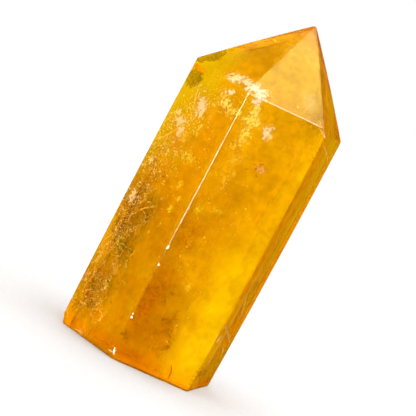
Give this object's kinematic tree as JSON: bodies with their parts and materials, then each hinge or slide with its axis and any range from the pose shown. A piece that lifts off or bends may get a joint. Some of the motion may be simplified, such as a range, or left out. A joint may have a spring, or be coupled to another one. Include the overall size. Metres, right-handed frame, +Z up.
{
  "type": "fluorite tower",
  "caption": "Polished golden yellow fluorite point: a six-sided column that stands on a flat base and ends in a faceted tip.",
  "frame": {"origin": "centre of the flat base, at the foot of the column", "axes": "+Z up along the column towards the tip, -Y out of the broad front wall, +X towards the narrow right side"},
  "size_m": [0.0377, 0.0326, 0.0797],
  "materials": {
    "fluorite": "clear to cloudy golden yellow crystal with polished facets"
  },
  "bodies": {
    "root": {"fluorite_tower": "fluorite"}
  },
  "joints": []
}
